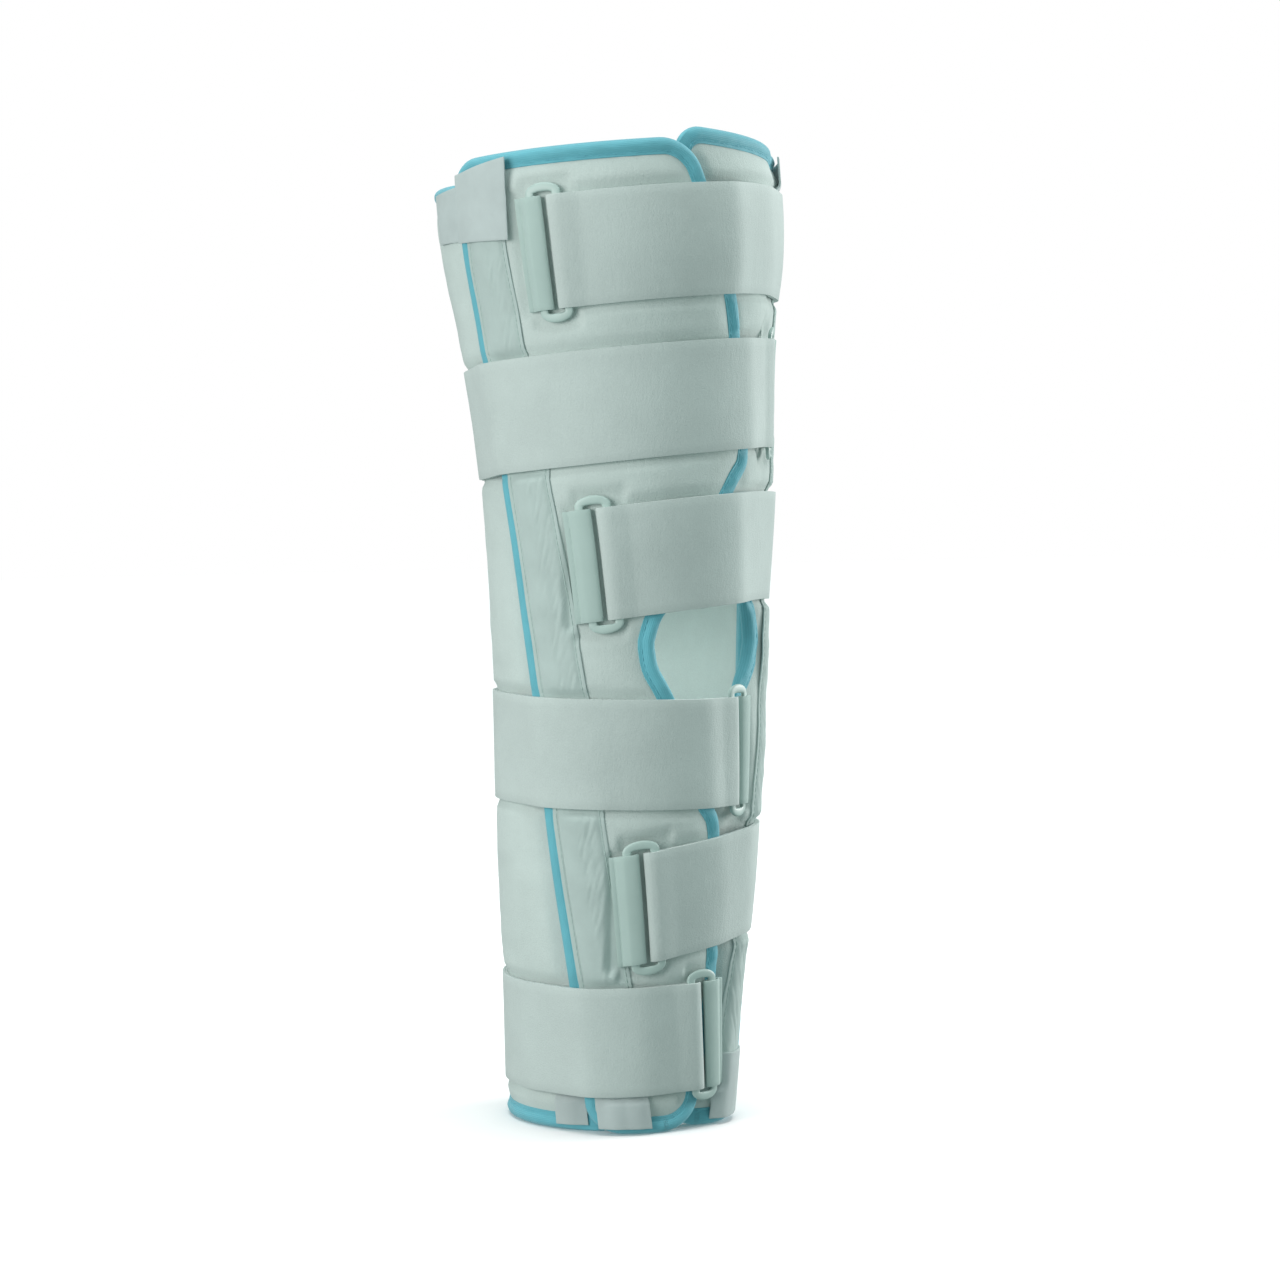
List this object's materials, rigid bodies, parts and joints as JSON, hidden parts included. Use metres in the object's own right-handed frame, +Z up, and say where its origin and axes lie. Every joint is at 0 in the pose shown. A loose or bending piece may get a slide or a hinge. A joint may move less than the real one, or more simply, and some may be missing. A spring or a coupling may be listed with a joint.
{
  "type": "knee immobilizer",
  "caption": "Three-panel foam knee immobilizer closed round an empty leg space, open in front of the knee, with straps turned back through flat oval rings.",
  "frame": {"origin": "middle of the bounding box in plan, at the height of the lower edge", "axes": "+Z up the leg, -Y toward the knee opening in front, -X toward the left panel, which laps over in front"},
  "size_m": [0.1768, 0.1688, 0.4563],
  "materials": {
    "panel_cloth": "brushed loop cloth over foam",
    "binding": "folded cloth tape",
    "pocket_cloth": "smooth woven",
    "tab_cloth": "smooth woven",
    "strap_webbing": "soft loop strap",
    "loop_webbing": "smooth woven webbing",
    "ring_plastic": "satin moulded"
  },
  "bodies": {
    "root": {"back_panel": "panel_cloth", "back_panel_binding": "binding", "left_panel": "panel_cloth", "left_panel_binding": "binding", "right_panel": "panel_cloth", "right_panel_binding": "binding", "left_stay_pocket": "pocket_cloth", "right_stay_pocket": "pocket_cloth", "left_top_tab": "tab_cloth", "left_bottom_tab": "tab_cloth", "right_top_tab": "tab_cloth", "right_bottom_tab": "tab_cloth", "back_left_top_tab": "tab_cloth", "back_left_bottom_tab": "tab_cloth", "back_right_top_tab": "tab_cloth", "back_right_bottom_tab": "tab_cloth", "strap_1": "strap_webbing", "strap_2": "strap_webbing", "strap_3": "strap_webbing", "strap_4": "strap_webbing", "strap_5": "strap_webbing", "strap_6": "strap_webbing", "ring_1": "ring_plastic", "ring_2": "ring_plastic", "ring_3": "ring_plastic", "ring_4": "ring_plastic", "ring_5": "ring_plastic", "ring_6": "ring_plastic", "ring_loop_1": "loop_webbing", "ring_loop_2": "loop_webbing", "ring_loop_3": "loop_webbing", "ring_loop_4": "loop_webbing", "ring_loop_5": "loop_webbing", "ring_loop_6": "loop_webbing"}
  },
  "joints": []
}
